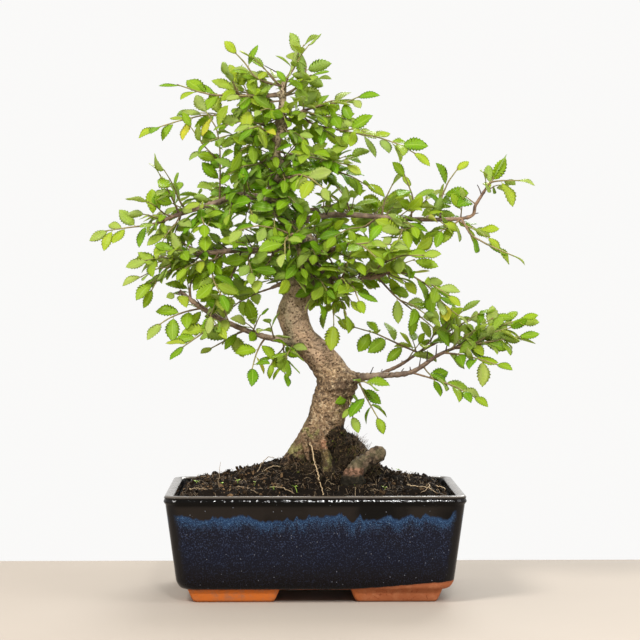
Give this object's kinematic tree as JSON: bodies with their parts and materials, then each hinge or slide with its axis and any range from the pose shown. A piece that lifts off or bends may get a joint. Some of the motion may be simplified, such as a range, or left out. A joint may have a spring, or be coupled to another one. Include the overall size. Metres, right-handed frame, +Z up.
{
  "type": "zelkova bonsai",
  "caption": "Zelkova bonsai with a curved trunk, flared roots and leafy shoots with saw-edged leaves, planted in soil in a glazed rectangular pot on short feet",
  "frame": {"origin": "on the table, under the middle of the pot", "axes": "+Z up, +X to the right along the pot's long side, +Y away from the viewer of the pictured front"},
  "size_m": [0.306, 0.1719, 0.3777],
  "materials": {
    "glazed_pot": "gloss",
    "screen": "matte",
    "soil": "matte",
    "bark": "matte",
    "leaf": "satin"
  },
  "bodies": {
    "root": {"pot": "glazed_pot", "drain_screen_left": "screen", "drain_screen_right": "screen", "soil": "soil", "trunk_and_boughs": "bark", "shoot_back_high_tip": "leaf", "shoot_back_left_tip": "leaf", "shoot_back_low_tip": "leaf", "shoot_back_lower_left_tip": "leaf", "shoot_back_right_tip": "leaf", "shoot_front_high_tip": "leaf", "shoot_front_low_left": "leaf", "shoot_front_low_tip": "leaf", "shoot_front_right_tip": "leaf", "shoot_front_upper": "leaf", "shoot_left_lower_drop_a": "leaf", "shoot_left_lower_drop_b": "leaf", "shoot_left_lower_inner": "leaf", "shoot_left_lower_out": "leaf", "shoot_left_lower_rise": "leaf", "shoot_left_middle_behind": "leaf", "shoot_left_middle_front": "leaf", "shoot_left_middle_hang": "leaf", "shoot_left_middle_out": "leaf", "shoot_left_middle_tip": "leaf", "shoot_left_upper_behind": "leaf", "shoot_left_upper_front": "leaf", "shoot_left_upper_inner": "leaf", "shoot_left_upper_rise": "leaf", "shoot_left_upper_tall": "leaf", "shoot_left_upper_tip": "leaf", "shoot_right_inner_tip": "leaf", "shoot_right_lower_drop": "leaf", "shoot_right_lower_fork_tip": "leaf", "shoot_right_lower_near": "leaf", "shoot_right_lower_return": "leaf", "shoot_right_lower_side": "leaf", "shoot_right_lower_tip": "leaf", "shoot_right_middle_front": "leaf", "shoot_right_middle_over": "leaf", "shoot_right_middle_rise": "leaf", "shoot_right_middle_tip_a": "leaf", "shoot_right_middle_tip_b": "leaf", "shoot_right_upper_behind_a": "leaf", "shoot_right_upper_behind_b": "leaf", "shoot_right_upper_drop_a": "leaf", "shoot_right_upper_drop_b": "leaf", "shoot_right_upper_rise_a": "leaf", "shoot_right_upper_rise_b": "leaf", "shoot_right_upper_rise_c": "leaf", "shoot_right_upper_rise_d": "leaf", "shoot_right_upper_tip": "leaf", "shoot_top_left_back": "leaf", "shoot_top_left_crest": "leaf", "shoot_top_left_tip": "leaf", "shoot_top_right_crest": "leaf", "shoot_top_right_tip": "leaf", "shoot_upper_left_long": "leaf", "shoot_upper_right_long": "leaf", "shoot_upper_right_low": "leaf"}
  },
  "joints": []
}
